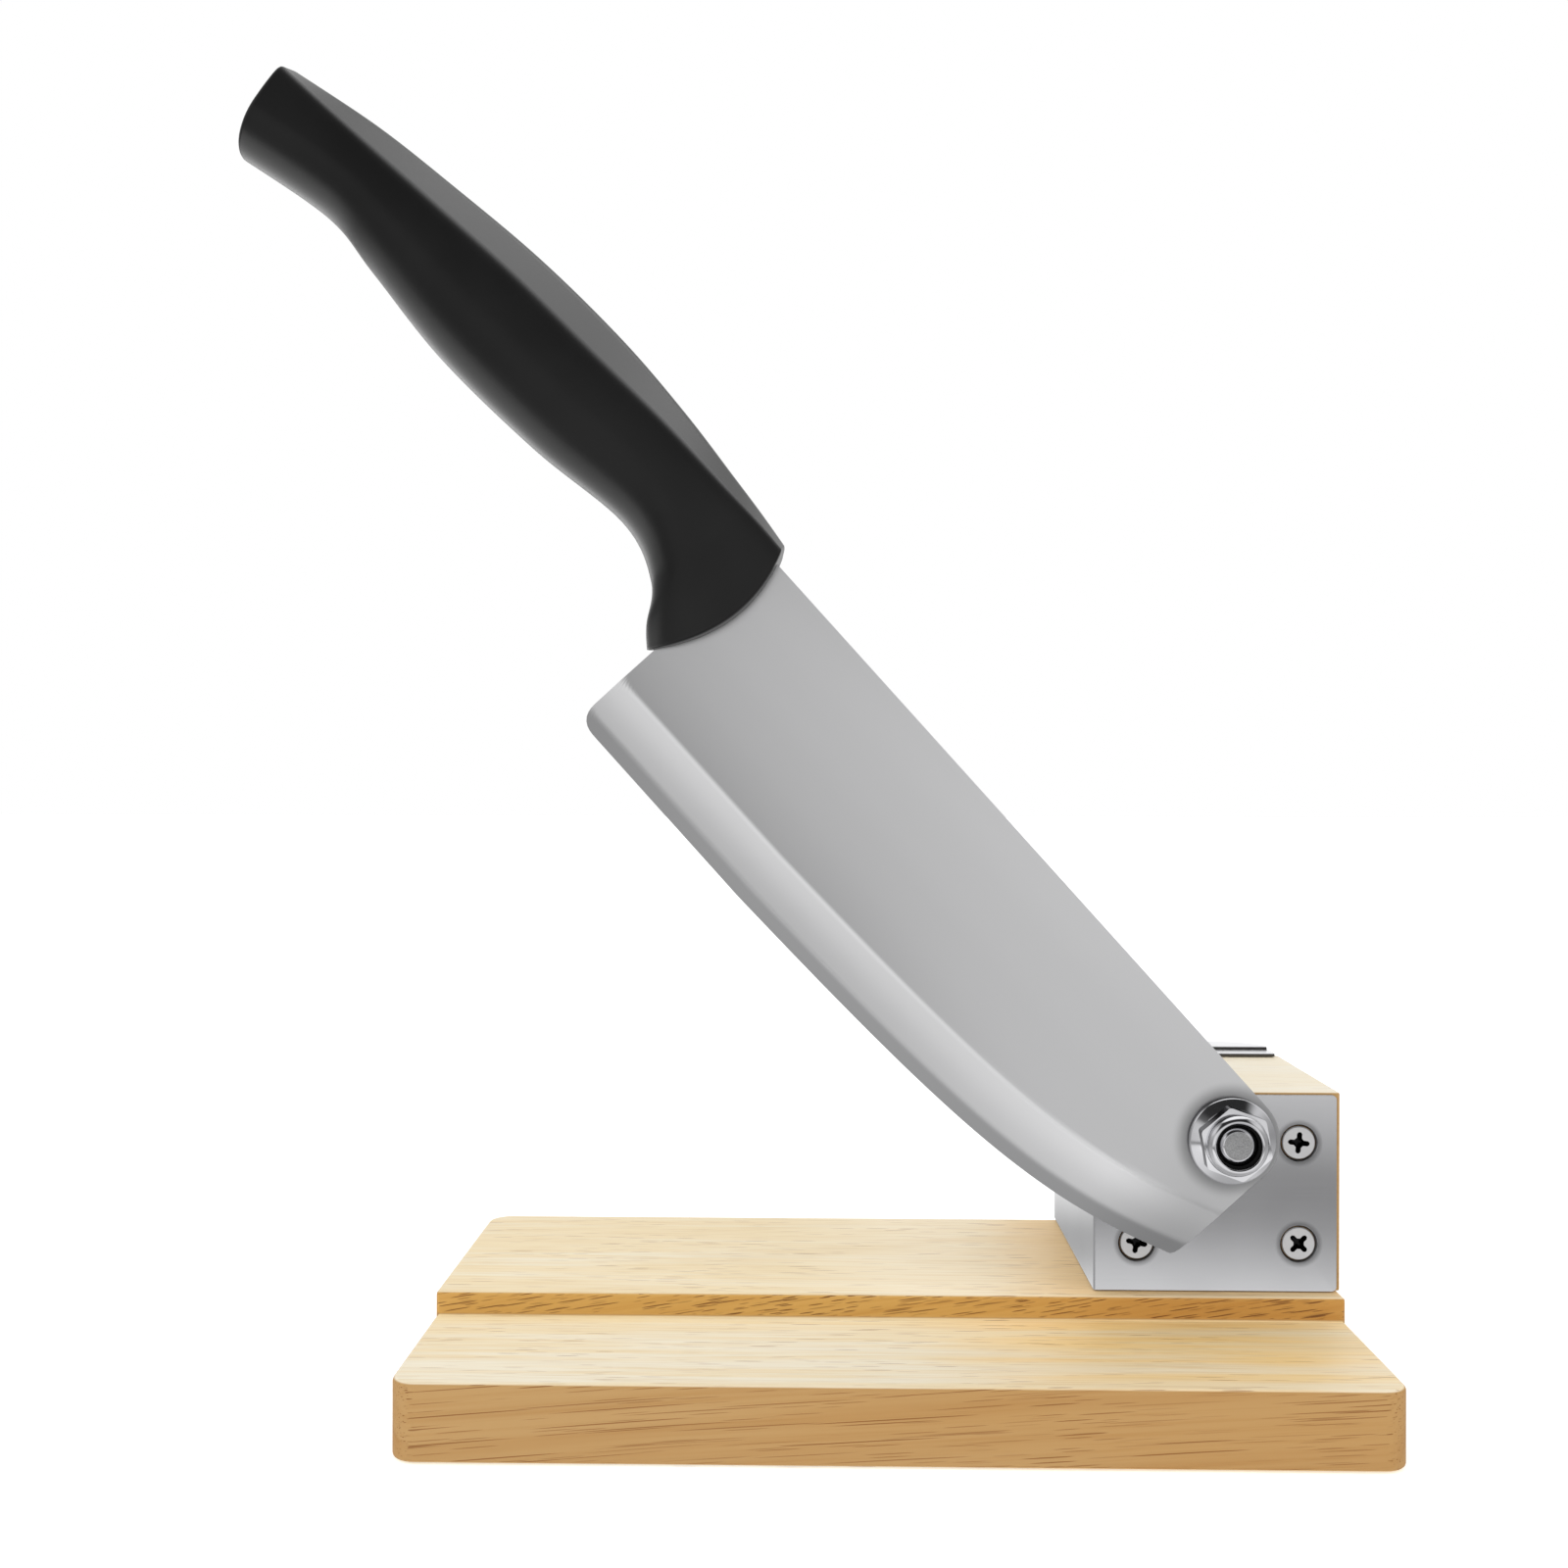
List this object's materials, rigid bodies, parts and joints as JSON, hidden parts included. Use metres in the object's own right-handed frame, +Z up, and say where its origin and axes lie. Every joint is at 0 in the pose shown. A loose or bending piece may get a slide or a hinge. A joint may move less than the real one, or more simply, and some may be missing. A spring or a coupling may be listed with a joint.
{
  "type": "guillotine meat slicer",
  "caption": "Wooden stepped cutting board with a hinged slicing knife on a bolted corner block; the lever knife swings down past the step to slice meat.",
  "frame": {"origin": "centre of the board's flat underside", "axes": "+X to the user's right towards the pivot block, +Y away from the user, +Z up"},
  "size_m": [0.2314, 0.1135, 0.2752],
  "materials": {
    "wood": "pale oiled hardwood with fine brown pores along its length",
    "satin_steel": "satin stainless sheet",
    "bright_steel": "bright stainless hardware",
    "blade_steel": "satin ground stainless blade",
    "handle_plastic": "black satin moulded plastic",
    "nylon": "black nylon"
  },
  "bodies": {
    "base": {"base_board": "wood", "pivot_block": "wood", "block_cover": "satin_steel", "rear_plate": "satin_steel", "cover_screw_top_left": "bright_steel", "cover_screw_top_right": "bright_steel", "cover_screw_bottom_left": "bright_steel", "cover_screw_bottom_right": "bright_steel", "plate_screw_left": "bright_steel", "plate_screw_right": "bright_steel", "block_screw_front_left": "bright_steel", "block_screw_rear_left": "bright_steel", "block_screw_front_right": "bright_steel", "block_screw_rear_right": "bright_steel", "washer_inner": "satin_steel", "washer_outer": "satin_steel", "pivot_bolt": "bright_steel", "flange_nut": "bright_steel", "nut_insert": "nylon"},
    "knife": {"blade": "blade_steel", "handle": "handle_plastic"}
  },
  "joints": [
    {"name": "knife_pivot", "type": "hinge", "parent": "base", "child": "knife", "pos_m": [0.0707, -0.0129, 0.0532], "axis": [0, -1, 0], "range_deg": [-140, 45.1]}
  ]
}
